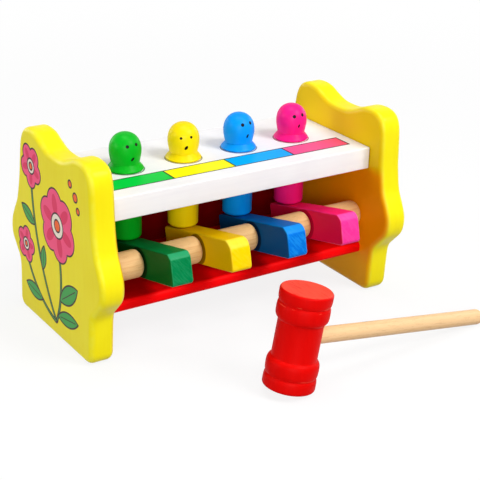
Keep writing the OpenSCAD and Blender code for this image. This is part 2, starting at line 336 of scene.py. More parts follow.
def turned(name, profile, material, place, sides=latheSizes["sides"], crease=40):
    points = bpy.data.meshes.new(name + "Profile")
    points.from_pydata([(r, 0, h) for r, h in profile], [(k, k + 1) for k in range(len(profile) - 1)], [])
    source = bpy.data.objects.new(name + "Profile", points)
    bpy.context.scene.collection.objects.link(source)
    work = source.modifiers.new("lathe", "NODES")
    work.node_group = lathe
    sockets = {item.name: item.identifier for item in lathe.interface.items_tree if item.in_out == "INPUT"}
    work[sockets["Sides"]] = sides
    work[sockets["Finish"]] = material
    bpy.context.view_layer.update()
    mesh = bpy.data.meshes.new_from_object(source.evaluated_get(bpy.context.evaluated_depsgraph_get()))
    mesh.name = name
    source.modifiers.remove(work)
    bpy.data.objects.remove(source)
    shape = bmesh.new()
    shape.from_mesh(mesh)
    bmesh.ops.dissolve_degenerate(shape, dist=latheSizes["emptyEdge"], edges=shape.edges)
    bmesh.ops.recalc_face_normals(shape, faces=shape.faces)
    for face in shape.faces:
        face.smooth = True
    shape.to_mesh(mesh)
    shape.free()
    mesh.transform(place)
    mesh.set_sharp_from_angle(angle=math.radians(crease))
    piece = bpy.data.objects.new(name, mesh)
    bpy.context.scene.collection.objects.link(piece)
    return piece


# Finishes

# What a painted piece has unless its own look says otherwise
plainCoat = {"cloud": 38.0, "cloudShare": 0.55, "blend": 0.5, "wave": 95.0,
             "specks": 620.0, "speckEdge": 0.27, "speckSoft": 0.02, "speck": 0.25,
             "edgeShare": 0.5, "patches": 160.0, "patchFrom": 0.36, "patchTo": 0.6, "patchLeast": 0.15,
             "cloudRough": 0.12, "fibreRough": 0.08, "fibre": 0.35, "depth": 0.05,
             "coat": 0.06, "coatRough": 0.25, "specular": 0.1}


def surface(name):
    material = bpy.data.materials.new(name)
    material.use_nodes = True
    material.node_tree.nodes.clear()
    tree = Tree(material.node_tree)
    return material, tree, tree.add("ShaderNodeTexCoord", out="Object")


def closeSurface(tree, colour, rough, height, look):
    bump = tree.add("ShaderNodeBump", None,
                    {"Strength": 1.0, "Distance": look["depth"] * mm, "Height": height})
    shader = tree.add("ShaderNodeBsdfPrincipled", None, {
        "Base Color": colour, "Roughness": rough, "Normal": bump, "Coat Weight": look["coat"],
        "Coat Roughness": plainCoat["coatRough"], "Specular IOR Level": look["specular"]})
    tree.add("ShaderNodeOutputMaterial", None, {"Surface": shader})


def paint(name, ownLook, extra):
    look = {**plainCoat, **ownLook}
    material, tree, place = surface(name)
    fibre = tree.noise(tree.stretch(place, look["grain"]), 1.0, 4.0, 0.6)   # faint fibres that show through
    cloud = tree.noise(place, look["cloud"], 2.0)   # the brush's flow
    wave = tree.noise(place, look["wave"], 1.0)   # the slow waves of a dipped coat
    tone = cloud * look["cloudShare"] + fibre * (1 - look["cloudShare"])
    deep = paintTone(*look["deep"])
    colour = tree.mix(tree.inside(tone, 0.5, look["blend"]), deep, paintTone(*look["tone"]))
    speck = tree.inside(tree.noise(place, look["specks"], 2.0), look["speckEdge"], look["speckSoft"])
    colour = tree.mix(speck * look["speck"], colour, deep)
    if "edge" in look:   # thin paint on the eased edges, partly a painted highlight along them
        edge = tree.add("ShaderNodeAttribute", {"attribute_name": "rounding"}, None, out="Fac")
        patches = tree.add("ShaderNodeMapRange", None, {
            0: tree.noise(place, look["patches"], 3.0), 1: look["patchFrom"], 2: look["patchTo"],
            3: look["patchLeast"], 4: 1.0})
        colour = tree.mix(edge * edge * patches * look["edgeShare"], colour, paintTone(*look["edge"]))
    colour = extra(tree, place, colour)
    rough = look["rough"] + (cloud - 0.5) * look["cloudRough"] + (fibre - 0.5) * look["fibreRough"]
    closeSurface(tree, colour, rough, wave + fibre * look["fibre"], look)
    return material


woodLook = {"light": (246, 206, 146), "dark": (226, 170, 104), "pore": (176, 118, 66), "ringGap": 2.4,
            "pith": (9, 14), "warp": 2.6, "late": ((0.0, 0.0), (0.62, 0.25), (0.9, 1.0), (1.0, 0.0)),
            "fibres": (45, 1100, 1100), "waves": (14, 90, 90), "pores": (170, 3800, 3800),
            "ringShare": 0.45, "fibreShare": 0.6, "paler": 0.05, "poreEdge": 0.36, "poreSoft": 0.06,
            "poreShare": 0.35, "poreDepth": 0.5, "fibreRough": 0.2,
            "shift": (0, 0, 0), "turn": (0, 0, 0), "rough": 0.46, "depth": 0.05, "coat": 0.0, "specular": 0.2}


def bareWood(name, look):   # year rings round a pith beside the piece, fibres and pores along it
    material, tree, place = surface(name)
    along = tree.add("ShaderNodeMapping", None,
                     {"Vector": place, "Location": look["shift"], "Rotation": look["turn"]})
    fibre = tree.noise(tree.stretch(along, look["fibres"]), 1.0, 4.0, 0.65)
    wave = tree.noise(tree.stretch(along, look["waves"]), 1.0, 2.0)
    _, side, rise = tree.split(along)
    aside = side + look["pith"][0] * mm
    above = rise + look["pith"][1] * mm
    fromPith = flatLength(aside, above) + wave * look["warp"] * mm
    ring = (fromPith / (look["ringGap"] * mm)) % 1.0
    stops = [(at, (share, share, share, 1)) for at, share in look["late"]]
    late = tree.add("ShaderNodeValToRGB", {"stops": stops}, {"Fac": ring})
    pores = tree.noise(tree.stretch(along, look["pores"]), 1.0, 2.0)
    pores = tree.inside(pores, look["poreEdge"], look["poreSoft"])
    rings = tree.add("ShaderNodeRGBToBW", None, {0: late})
    tone = rings * look["ringShare"] + fibre * look["fibreShare"] - look["paler"]
    colour = tree.mix(tone, paintTone(*look["light"]), paintTone(*look["dark"]))
    colour = tree.mix(pores * look["poreShare"], colour, paintTone(*look["pore"]))
    rough = look["rough"] + (fibre - 0.5) * look["fibreRough"]
    closeSurface(tree, colour, rough, fibre * look["fibreShare"] - pores * look["poreDepth"], look)
    return material


spacerWood = bareWood("spacerWood", {**woodLook, "shift": (0, -benchY, 0)})
hiddenWood = bareWood("hiddenWood", woodLook)
print("finishes: bare wood")


# End panels

panel = {"halfDepth": 60, "height": 119, "footHalf": 47.75, "footRound": 7, "footBack": 2.5, "forward": 7,
         "round": 3.5, "thick": 15, "curveSteps": 8,
         "sideShares": [(0.797, 0.1), (0.797, 0.2), (0.814, 0.262), (0.893, 0.312), (0.973, 0.361),
                        (1, 0.412), (0.986, 0.47), (0.93, 0.53), (0.865, 0.59), (0.825, 0.665),
                        (0.8, 0.735), (0.782, 0.82), (0.757, 0.91), (0.71, 0.965), (0.63, 0.992),
                        (0.525, 1), (0.4, 0.993), (0.28, 0.968), (0.14, 0.945), (0, 0.94),
                        (-0.14, 0.945)],
         "look": {"tone": (255, 241, 22), "deep": (250, 232, 12), "grain": (300, 300, 22), "rough": 0.4,
                  "depth": 0.03, "fibre": 0.1, "speck": 0.1, "edge": (255, 252, 96), "edgeShare": 0.35},
         # The tones of the faces inside, painted darker and warmer as shade and bounced red light, most below
         # the deck and the shelf, and how softly each gives way to the next
         "inner": (236, 200, 0), "underDeckShade": (246, 160, 0), "underShelfShade": (255, 186, 0),
         "innerDeep": 1.2, "innerSoft": 2.4, "lowSoft": 8, "footSoft": 16}


def panelOutline():
    shares = [(u * panel["halfDepth"], v * panel["height"]) for u, v in panel["sideShares"]]
    shares[:2] = [(panel["footHalf"], v) for _, v in shares[:2]]
    centre = (panel["footHalf"] - panel["footRound"], panel["footRound"])
    half = arc(centre, panel["footRound"], -90, 0, 10)
    # The curve from the second share to the middle of the dip
    half += smoothLine(shares, panel["curveSteps"])[panel["curveSteps"]:-panel["curveSteps"]]
    whole = half + [shares[-2]] + [(-u, v) for u, v in half[::-1]]
    return [(u + panel["footBack"] - panel["forward"] * v / panel["height"], v) for u, v in whole]


# The print on the left panel: blooms, stems and leaves, in bench millimetres on its outer face
bloomPrint = {
    "tones": {"pink": (255, 84, 134), "rose": (236, 46, 98), "cream": (250, 238, 220),
              "orange": (255, 104, 30), "green": (58, 164, 70), "ink": (52, 8, 22)},
    "line": 0.5, "skin": 0.2, "root": (-2, 10), "stemHalf": 0.9, "stemSpare": 2,
    "veinShare": 0.72, "veinLineShare": 0.6, "blushShare": 0.34, "blushLong": 1.9, "blushSoft": 0.2,
    "blooms": [{"at": (-7, 72), "ring": 12.2, "petal": 9.6, "count": 6, "turn": 0.2, "eye": 7.4, "core": 3.6},
               {"at": (26, 97), "ring": 7.4, "petal": 6.0, "count": 5, "turn": 0.9, "eye": 4.6, "core": 2.2},
               {"at": (37, 45), "ring": 6.2, "petal": 5.3, "count": 5, "turn": 0.1, "eye": 3.9, "core": 1.8}],
    "stems": [{"to": (-7, 60), "bow": 5}, {"to": (26, 90), "bow": -7}, {"to": (37, 40), "bow": -6}],
    "leaves": [{"root": (-7.5, 26), "turn": 2.55, "long": 28, "wide": 11},
               {"root": (-4, 15), "turn": 2.95, "long": 27, "wide": 9},
               {"root": (14.5, 37), "turn": 1.75, "long": 16, "wide": 7},
               {"root": (23.5, 62), "turn": 0.4, "long": 19, "wide": 8},
               {"root": (16, 17), "turn": 0.12, "long": 23, "wide": 9}],
    "berries": [(-31, 97, 2.6), (-25, 103, 2.1), (-34, 90, 1.9)]}


def warmShadeInside(tree, place, colour):   # painted shade and bounced red light on the two faces that look at each other
    x, _, z = tree.split(place)
    underDeck = tree.inside(z / mm, bench["deckTop"] - bench["deckThick"], panel["lowSoft"])
    underShelf = tree.inside(z / mm, bench["shelfUnder"], panel["footSoft"])
    insideShade = tree.mix(underDeck, paintTone(*panel["inner"]), paintTone(*panel["underDeckShade"]))
    insideShade = tree.mix(underShelf, insideShade, paintTone(*panel["underShelfShade"]))
    inner = tree.inside(abs(x - benchX) / mm, bench["boardX"] + panel["innerDeep"], panel["innerSoft"])
    return tree.mix(inner, colour, insideShade)


def stemShape(u, v, stem):   # how far a point is from a bow of a circle between the root and its bloom
    root = Vector(bloomPrint["root"])
    chord = Vector(stem["to"]) - root
    middle = root + chord / 2
    along = chord.normalized()
    radius = (chord.length_squared / 4 + stem["bow"] ** 2) / (2 * stem["bow"])
    centre = middle + Vector((along.y, -along.x)) * (radius - stem["bow"])
    bend = abs(flatLength(u - centre.x, v - centre.y) - abs(radius)) - bloomPrint["stemHalf"]
    ends = abs((u - middle.x) * along.x + (v - middle.y) * along.y) - chord.length / 2
    beside = abs((u - middle.x) * along.y - (v - middle.y) * along.x)
    return bend.most(ends).most(beside - abs(stem["bow"]) - bloomPrint["stemSpare"])


def leafShape(u, v, leaf):   # the lens between two arcs, and the vein along its middle
    c = math.cos(leaf["turn"])
    s = math.sin(leaf["turn"])
    half = leaf["long"] / 2
    wide = leaf["wide"] / 2
    du = u - (leaf["root"][0] + c * half)
    dv = v - (leaf["root"][1] + s * half)
    along = du * c + dv * s
    across = dv * c - du * s
    radius = (half * half + wide * wide) / (2 * wide)
    blade = flatLength(along, abs(across) + (radius - wide)) - radius
    return blade, abs(across).most(abs(along) - half * bloomPrint["veinShare"])


def printedBlooms(tree, place, colour):
    colour = warmShadeInside(tree, place, colour)
    x, y, z = tree.split(place)
    u = (y - benchY) / mm
    v = z / mm
    flower = {name: paintTone(*tone) for name, tone in bloomPrint["tones"].items()}
    line = bloomPrint["line"]

    def layer(under, distance, fill):   # a filled shape with its drawn outline
        under = tree.mix(tree.inside(distance), under, fill)
        return tree.mix(tree.inside(abs(distance), line), under, flower["ink"])

    drawn = colour
    for stem in bloomPrint["stems"]:
        drawn = layer(drawn, stemShape(u, v, stem), flower["green"])
    for leaf in bloomPrint["leaves"]:
        blade, vein = leafShape(u, v, leaf)
        drawn = layer(drawn, blade, flower["green"])
        drawn = tree.mix(tree.inside(vein, line * bloomPrint["veinLineShare"]), drawn, flower["ink"])
    for bloom in bloomPrint["blooms"]:
        du = u - bloom["at"][0]
        dv = v - bloom["at"][1]
        away = flatLength(du, dv)
        step = math.tau / bloom["count"]
        angle = tree.add("ShaderNodeMath", {"operation": "ARCTAN2"}, {0: dv, 1: du})
        bearing = (angle + bloom["turn"] + math.tau) % step - step / 2
        pu = away * bearing.cos() - bloom["ring"]
        pv = away * bearing.sin()
        drawn = layer(drawn, flatLength(pu, pv) - bloom["petal"], flower["pink"])
        blush = flatLength(pu / bloomPrint["blushLong"], pv) - bloom["petal"] * bloomPrint["blushShare"]
        drawn = tree.mix(tree.inside(blush, 0.0, bloomPrint["blushSoft"]), drawn, flower["rose"])
        drawn = layer(drawn, away - bloom["eye"], flower["cream"])
        drawn = layer(drawn, away - bloom["core"], flower["orange"])
    for bu, bv, size in bloomPrint["berries"]:
        drawn = layer(drawn, flatLength(u - bu, v - bv) - size, flower["orange"])
    outerFace = x < (benchX - (bench["boardX"] + panel["thick"] - bloomPrint["skin"]) * mm)
    return tree.mix(outerFace, colour, drawn)


leftPanelPaint = paint("leftPanelPaint", panel["look"], printedBlooms)
rightPanelPaint = paint("rightPanelPaint", panel["look"], warmShadeInside)
for side, start, material in (("left", -bench["boardX"] - panel["thick"], leftPanelPaint),
                              ("right", bench["boardX"], rightPanelPaint)):
    shape = board(side + "Panel", panelOutline(), panel["thick"], panel["round"],
                  benchPlace @ Matrix.Translation((start, 0, 0)) @ alongBench, easeSteps=9)
    finishPiece(shape, material, "bench", side + "_end_panel")
print("end panels")


# Deck

deck = {"halfDepth": 39, "ease": 0.7, "holeRadius": 9.6, "holeEase": 0.6, "corner": 1.0,
        "look": {"tone": (250, 249, 249), "deep": (243, 241, 243), "grain": (26, 480, 480), "rough": 0.45,
                 "depth": 0.012, "fibre": 0.25, "speck": 0.06, "specular": 0.06, "coat": 0.0},
        "seam": 89.55, "seamSoft": 0.5, "seamTone": (84, 56, 6), "seamShare": 0.85}
strip = {"front": -27.6, "back": -13.8, "half": 82.5, "skin": 0.25, "line": 0.48, "ink": (20, 34, 30),
         "tones": [(4, 206, 66), (255, 248, 20), (6, 174, 250), (240, 92, 150)],
         "rose": (250, 84, 104), "roseFrom": 0.84, "roseTo": 1.06,
         # The ring is a painted contact shadow round each collar, a dark copy of the strip's colour
         "ring": 10.95, "ringWide": 0.34, "ringSoft": 0.25, "ringTint": 0.7, "ringShare": 0.9}


def printedStrip(tree, place, colour):   # four colours in dark lines, and a painted contact shadow round each collar
    x, y, z = tree.split(place)
    u = (x - benchX) / mm
    v = (y - benchY) / mm
    ink = paintTone(*strip["ink"])
    share = (u + strip["half"]) / (2 * strip["half"])
    stops = [(k / len(colours), paintTone(*tone)) for k, tone in enumerate(strip["tones"])]
    tone = tree.add("ShaderNodeValToRGB", {"steps": "CONSTANT", "stops": stops}, {"Fac": share})
    ringTone = tree.mix(strip["ringTint"], tone, ink)
    # The pink turns to rose at its far end
    tone = tree.mix(tree.between(share, strip["roseFrom"], strip["roseTo"]), tone, paintTone(*strip["rose"]))
    quarter = strip["half"] / 2
    within = (u + strip["half"]) % quarter
    within = within.least(quarter - within)
    ends = abs(u) - strip["half"]
    sides = abs(v - (strip["front"] + strip["back"]) / 2) - (strip["back"] - strip["front"]) / 2
    edge = ends.most(sides)
    top = z > ((bench["deckTop"] - strip["skin"]) * mm)
    printed = tree.mix(tree.inside(edge) * top, colour, tone)
    rule = tree.inside(abs(edge).least(within.most(edge)), strip["line"])
    printed = tree.mix(rule * top, printed, ink)
    pitch = bench["pegPitch"]
    across = (u + 2 * pitch) % pitch - pitch / 2
    fromRing = abs(flatLength(across, v) - strip["ring"])
    # A painted contact shadow: a thin dark ring on the deck round each collar
    shadowRing = tree.inside(fromRing, strip["ringWide"], strip["ringSoft"])
    onRow = abs(u) < 2 * pitch
    printed = tree.mix(shadowRing * onRow * top * strip["ringShare"], printed, ringTone)
    seam = tree.inside(deck["seam"] - abs(u), 0.0, deck["seamSoft"])   # the dark joint at the end panels
    return tree.mix(seam * deck["seamShare"], printed, paintTone(*deck["seamTone"]))


halfX = bench["boardX"]
deckUnder = bench["deckTop"] - bench["deckThick"]
shape = board("deck", roundedBox(-halfX, halfX, -deck["halfDepth"], deck["halfDepth"],
                                 deck["corner"], deck["corner"], 4),
              bench["deckThick"], deck["ease"], benchPlace @ Matrix.Translation((0, 0, deckUnder)),
              [(x, 0, deck["holeRadius"], deck["holeEase"]) for x in pegPlaces])
finishPiece(shape, paint("deckPaint", deck["look"], printedStrip), "bench", "top_deck")


# Shelf and back board

shelf = {"front": -35.5, "back": 39, "thick": 7, "nose": 2.8, "corner": 0.8, "ease": 0.3,
         # The nose tone is painted light along the front edge
         "noseLight": (255, 3, 8), "noseWide": 1.6,
         "look": {"tone": (226, 2, 5), "deep": (212, 0, 4), "grain": (24, 460, 460), "rough": 0.5,
                  "depth": 0.012, "fibre": 0.3, "specular": 0.06, "coat": 0.0}}
# The back board is the shelf's red painted darker as shade, all but its outer back face
backBoard = {"thick": 7, "corner": 0.6, "ease": 0.3, "skin": 0.3,
             "look": {**shelf["look"], "tone": (132, 2, 4), "deep": (120, 0, 3)}}


def paintedLitNose(tree, place, colour):   # painted light: the front edge is painted a little brighter than the faces
    _, y, _ = tree.split(place)
    nose = tree.inside((y - benchY) / mm, shelf["front"] + shelf["noseWide"], shelf["noseWide"])
    return tree.mix(nose, colour, paintTone(*shelf["noseLight"]))


def brightBack(tree, place, colour):   # the face that looks out at the back keeps the shelf's own red, without the painted shade
    _, y, _ = tree.split(place)
    outer = tree.inside(shelf["back"] - (y - benchY) / mm, backBoard["skin"], backBoard["skin"])
    return tree.mix(outer, colour, paintTone(*shelf["look"]["tone"]))


lengthwise = benchPlace @ Matrix.Translation((-halfX, 0, 0)) @ alongBench
shelfTop = bench["shelfUnder"] + shelf["thick"]
section = roundedBox(shelf["front"], shelf["back"], bench["shelfUnder"], shelfTop,
                     shelf["nose"], shelf["corner"], 10)
shape = board("shelf", section, 2 * halfX, shelf["ease"], lengthwise)
finishPiece(shape, paint("boardRed", shelf["look"], paintedLitNose), "bench", "bottom_shelf")
section = roundedBox(shelf["back"] - backBoard["thick"], shelf["back"], shelfTop, deckUnder,
                     backBoard["corner"], backBoard["corner"], 4)
shape = board("backBoard", section, 2 * halfX, backBoard["ease"], lengthwise)
finishPiece(shape, paint("backBoardShadedRed", backBoard["look"], brightBack), "bench", "back_board")
for node in ("axle_rod", "deck_dowels", "shelf_dowels", "back_board_dowels"):
    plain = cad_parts[node]
    plain.data.materials.clear()
    plain.data.materials.append(hiddenWood)
print("deck, shelf and back board")


# Levers and spacers on the axle

lever = {
    "width": 13.2, "half": 9.3, "front": -37.5, "rear": 37.8, "tilt": 13.389, "ease": 0.9, "bore": 3.08,
    "boreEase": 0.2, "chin": 2.4, "heel": 1.7,
    "noses": {"green": 4.6, "yellow": 7.0, "blue": 5.7, "pink": 5.2},
    "look": {"grain": (480, 30, 480), "rough": 0.42, "depth": 0.06, "fibre": 0.5, "speck": 0.2,
             "edgeShare": 0.65, "specular": 0.05, "coat": 0.03},
    # Each lever's side and top tones are painted shade, its ring tone a painted shadow, and its edge tone
    # partly a painted highlight
    "tones": {
        "green": {"tone": (0, 134, 76), "deep": (0, 120, 62), "edge": (60, 178, 122),
                  "side": (0, 98, 16), "top": (0, 112, 46), "ring": (10, 18, 8),
                  "streakShare": 0.25, "noseShare": 0.5},
        "yellow": {"tone": (255, 222, 0), "deep": (250, 208, 0), "edge": (255, 240, 90),
                   "side": (255, 204, 0), "top": (238, 186, 0), "ring": (96, 54, 4),
                   "streakShare": 0.15, "noseShare": 0.4},
        "blue": {"tone": (0, 124, 232), "deep": (0, 108, 214), "edge": (40, 170, 250),
                 "side": (0, 74, 126), "top": (0, 98, 166), "ring": (8, 12, 26),
                 "streakShare": 0.5, "noseShare": 0.4},
        "pink": {"tone": (250, 62, 162), "deep": (246, 46, 144), "edge": (255, 120, 196),
                 "side": (255, 0, 36), "top": (255, 20, 96), "ring": (180, 6, 50),
                 "streakShare": 0.15, "noseShare": 0.2}},
    "marks": {"faceShare": 0.8, "sideSkin": 0.3, "topSkin": 0.2,
              "rubRadius": 9.3, "rubLower": 0.35, "rubSoft": 0.9,
              "streakTurn": 0.7, "streaks": (900, 60, 140), "streakEdge": 0.47, "streakSoft": 0.14,
              "streakReach": 6, "streakFade": 2, "streakStrength": 0.7, "noseFrom": 1.24, "noseSoft": 0.12}}
spacer = {"radius": 8.25, "bore": 3.08, "length": 25.04, "round": 3}


def leverOutline(nose):
    front, rear, half, heel = (lever[name] for name in ("front", "rear", "half", "heel"))
    return roundedShape([(front, -half, lever["chin"]), (rear, -half, heel),
                         (rear, half, heel), (front, half, nose)])


def brushedShadedLever(look, x, nose):   # painted shade on the sides and top, a painted shadow ring round the axle, a painted highlight on the top corner, and slanting brush marks on the front end
    tones = {name: paintTone(*look[name]) for name in ("side", "ring", "top", "edge")}
    marks = lever["marks"]

    def drawn(tree, place, colour):
        u, v, w = tree.split(place)
        fromSide = lever["width"] / 2 - marks["sideSkin"] - abs(u - (benchX + x * mm)) / mm
        sides = tree.inside(fromSide, 0.0, marks["sideSkin"] * 2)
        # Painted shade on the side faces
        colour = tree.mix(sides * marks["faceShare"], colour, tones["side"])
        ahead = v / mm - (benchY / mm + bench["axleY"])
        fromAxle = flatLength(ahead, w / mm - (bench["axleZ"] - marks["rubLower"]))
        shadowRing = tree.inside(fromAxle, marks["rubRadius"], marks["rubSoft"])   # painted shadow where the spacers' rounded ends meet the sides
        colour = tree.mix(shadowRing * sides * marks["faceShare"], colour, tones["ring"])
        slanted = tree.add("ShaderNodeMapping", None,
                           {"Vector": place, "Rotation": (0, marks["streakTurn"], 0)})
        streaks = tree.noise(tree.stretch(slanted, marks["streaks"]), 1.0, 3.0, 0.6)
        streaks = tree.inside(streaks, marks["streakEdge"], marks["streakSoft"])
        front = tree.inside(ahead, lever["front"] + marks["streakReach"], marks["streakFade"])
        axle = benchPlace @ Vector((0, bench["axleY"], bench["axleZ"]))
        level = tree.add("ShaderNodeVectorRotate", {"rotation_type": "X_AXIS"},
                         {"Vector": place, "Center": axle, "Angle": math.radians(lever["tilt"])})
        _, along, up = tree.split(level)
        height = up / mm - bench["axleZ"]
        upper = tree.inside(lever["half"] - marks["topSkin"] - height, 0.0, marks["topSkin"] * 2)
        # Painted shade on the top face
        colour = tree.mix(upper * marks["faceShare"], colour, tones["top"])
        # A painted highlight along the rounded top corner
        back = (along - benchY) / mm - bench["axleY"] - (lever["front"] + nose)
        corner = (height - (lever["half"] - nose)) - back
        noseHighlight = tree.inside(nose * marks["noseFrom"] - corner, 0.0, nose * marks["noseSoft"])
        colour = tree.mix(noseHighlight * look["noseShare"], colour, tones["edge"])
        streaks = streaks * front * (1 - sides) * look["streakShare"] * marks["streakStrength"]
        return tree.mix(streaks, colour, tones["edge"])
    return drawn


for colour, x in zip(colours, pegPlaces):
    tones = lever["tones"][colour]
    nose = lever["noses"][colour]
    leverPaint = paint(colour + "LeverPaint", {**lever["look"], **tones}, brushedShadedLever(tones, x, nose))
    place = (benchPlace @ Matrix.Translation((x, bench["axleY"], bench["axleZ"]))
             @ Matrix.Rotation(-math.radians(lever["tilt"]), 4, "X")
             @ Matrix.Translation((-lever["width"] / 2, 0, 0)) @ alongBench)
    shape = board(colour + "Lever", leverOutline(nose), lever["width"], lever["ease"], place,
                  [(0, 0, lever["bore"], lever["boreEase"])])
    finishPiece(shape, leverPaint, "lever_" + colour, "lever_" + colour)


def spacerProfile():
    half = spacer["length"] / 2
    soft = spacer["round"]
    inner = spacer["radius"] - soft
    made = [(spacer["bore"], -half)] + arc((inner, -half + soft), soft, -90, 0, 8)
    made += arc((inner, half - soft), soft, 0, 90, 8)
    return made + [(spacer["bore"], half), (spacer["bore"], -half)]


for k in range(len(colours) + 1):
    middle = benchPlace @ Vector(((k - 2) * bench["pegPitch"], bench["axleY"], bench["axleZ"]))
    place = Matrix.Translation(middle) @ Matrix.Rotation(quarterTurn, 4, "Y")
    name = "spacer_%d" % (k + 1)
    shape = turned("spacer%d" % (k + 1), spacerProfile(), spacerWood, place)
    finishPiece(shape, spacerWood, name, name)
print("levers and spacers")


# Pegs

peg = {
    "radius": 9.2, "foot": 53.871, "footRound": 2, "collar": 10.7, "seat": 1.2, "lip": 0.55, "lipRise": 0.7,
    "skirt": [(10.7, 0.7), (10.5, 1.15), (10.1, 1.7), (9.5, 2.45), (8.85, 3.2), (8.3, 3.85)],
    "head": [(8.12, 4.05), (8.3, 4.4), (8.48, 5.1), (8.72, 6.2), (9.02, 7.8), (9.3, 9.6), (9.4, 11.4),
             (9.28, 13.4), (8.82, 15.6), (7.85, 17.7), (6.3, 19.6), (4.2, 21.0), (2.1, 21.64), (0, 21.8)],
    "look": {"grain": (480, 480, 40), "rough": 0.46, "depth": 0.035, "fibre": 0.25, "speck": 0.12},
    "tones": {"green": {"tone": (0, 184, 36), "deep": (0, 170, 26)},
              "yellow": {"tone": (250, 226, 4), "deep": (244, 214, 0)},
              "blue": {"tone": (0, 158, 252), "deep": (0, 146, 246)},
              "pink": {"tone": (254, 30, 138), "deep": (250, 18, 122)}},
    "faces": {
        "green": {"turn": 0, "eyes": 15.9, "mouth": 8.2, "eyeSize": 1.0, "mouthSize": 1.0, "slant": 42},
        "yellow": {"turn": 20, "eyes": 14.7, "mouth": 8.9, "eyeSize": 0.8, "mouthSize": 1.1, "slant": 30},
        "blue": {"turn": -1.5, "eyes": 16.6, "mouth": 9.6, "eyeSize": 1.05, "mouthSize": 0.9, "slant": 22},
        "pink": {"turn": 4.5, "eyes": 16.0, "mouth": 10.0, "eyeSize": 1.1, "mouthSize": 0.85, "slant": 16}},
    "dots": {"spread": 19.5, "farEyeRise": 0.4, "mouthSqueeze": (1.3, 1, 0.72), "tone": (6, 4, 8),
             "soft": 0.22}}
pegFloor = bench["deckTop"] + bench["gap"]


def pegProfile():
    foot = peg["foot"]
    soft = peg["footRound"]
    made = [(0, foot)] + arc((peg["radius"] - soft, foot + soft), soft, -90, 0, 8)
    made += [(peg["radius"], pegFloor), (peg["collar"] - peg["seat"], pegFloor)]
    made += arc((peg["collar"] - peg["lip"], pegFloor + peg["lipRise"]), peg["lip"], -75, -15, 4)
    outline = smoothLine(peg["skirt"], 3) + peg["skirt"][-1:] + smoothLine(peg["head"], 4) + peg["head"][-1:]
    return made + [(r, pegFloor + h) for r, h in outline]


def headRadius(height):
    for (r1, h1), (r2, h2) in zip(peg["head"], peg["head"][1:]):
        if h1 <= height <= h2:
            return r1 + (r2 - r1) * (height - h1) / (h2 - h1)


def dotFace(face, x):   # two eyes and a mouth
    dots = peg["dots"]
    spots = [(face["turn"] + dots["spread"], face["eyes"], face["eyeSize"], (1, 1, 1)),
             (face["turn"] - dots["spread"], face["eyes"] + dots["farEyeRise"], face["eyeSize"], (1, 1, 1)),
             (face["turn"], face["mouth"], face["mouthSize"], dots["mouthSqueeze"])]

    def drawn(tree, place, colour):
        for turn, height, size, squeeze in spots:
            r = headRadius(height)
            w = math.radians(turn)
            spot = benchPlace @ Vector((x - r * math.sin(w), -r * math.cos(w), pegFloor + height))
            offset = tree.add("ShaderNodeVectorMath", {"operation": "SUBTRACT"}, {0: place, 1: spot})
            offset = tree.add("ShaderNodeVectorRotate", {"rotation_type": "Y_AXIS"},
                              {"Vector": offset, "Angle": -math.radians(face["slant"])})
            away = tree.length(tree.stretch(offset, squeeze))
            dot = tree.inside(away / mm, size, dots["soft"])
            colour = tree.mix(dot, colour, paintTone(*dots["tone"]))
        return colour
    return drawn


for colour, x in zip(colours, pegPlaces):
    look = {**peg["look"], **peg["tones"][colour]}
    pegPaint = paint(colour + "PegPaint", look, dotFace(peg["faces"][colour], x))
    place = Matrix.Translation(benchPlace @ Vector((x, 0, 0)))
    finishPiece(turned(colour + "Peg", pegProfile(), pegPaint, place), pegPaint,
                "peg_" + colour, "peg_" + colour)
print("pegs")


# Mallet

mallet = {"x": -18.5, "y": -120, "turn": 3, "radius": 14.75, "half": 28.25, "rim": 1.5, "rimFlat": 0.6,
          "endLobe": 7.6, "innerLobe": 10, "groove": 0.8, "waist": 12.7, "sides": 96, "crease": 50,
          "handle": 4.65, "reach": 144, "inset": 5.95, "tip": 3, "tipShy": 0.03,
          # Shares of a lobe's length, and of the groove's or the waist's depth
          "endShares": ((0.5, 0), (0.3, 0.09), (0.16, 0.3), (0.07, 0.62), (0.02, 0.92), (0, 1)),
          "innerShares": ((0.02, 0.9), (0.06, 0.6), (0.14, 0.26), (0.28, 0.08), (0.45, 0)),
          "waistShares": ((0.62, 0.015), (0.74, 0.08), (0.83, 0.22), (0.9, 0.42), (0.95, 0.64), (0.98, 0.84),
                          (1.0, 0.97), (1.05, 1.0)),
          "look": {"tone": (230, 5, 2), "deep": (218, 2, 0), "grain": (420, 420, 60), "rough": 0.5,
                   "fibre": 0.6, "speck": 0.2, "specular": 0.06, "coat": 0.0},
          # The ridge tone is partly a painted highlight on the chips, and the lighter face tone a painted
          # sheen as well as wear
          "wearAndSheen": {"ridge": (255, 84, 62), "share": 0.6, "reach": 0.9, "wide": 0.3, "soft": 0.4,
                   "chips": (120, 120, 700), "chipEdge": 0.42, "chipSoft": 0.05,
                   "sweep": (620, 70, 70), "sweepEdge": 0.44, "sweepSoft": 0.14, "scuff": (232, 40, 30),
                   "face": (252, 86, 64), "faceShare": 0.85, "faceDeep": 0.25, "faceSoft": 0.3},
          "handleLook": {"light": (246, 206, 156), "dark": (232, 186, 130), "ringGap": 2.8}}

# It leans until the handle's tip and the head's lower rim both rest on the floor
rise = mallet["half"] - mallet["rim"] - mallet["handle"] + mallet["tip"]
run = mallet["reach"] - mallet["tip"] - mallet["radius"] + mallet["rim"]
lean = math.acos((mallet["tip"] - mallet["rim"]) / math.hypot(rise, run)) - math.atan2(run, rise)
across = (mallet["radius"] - mallet["rim"]) * math.sin(lean)
down = (mallet["half"] - mallet["rim"]) * math.cos(lean)
malletZ = across + down + mallet["rim"]
malletPlace = (Matrix.Translation(benchPlace @ Vector((mallet["x"], mallet["y"], malletZ)))
               @ Matrix.Rotation(math.radians(mallet["turn"]), 4, "Z") @ Matrix.Rotation(lean, 4, "Y"))


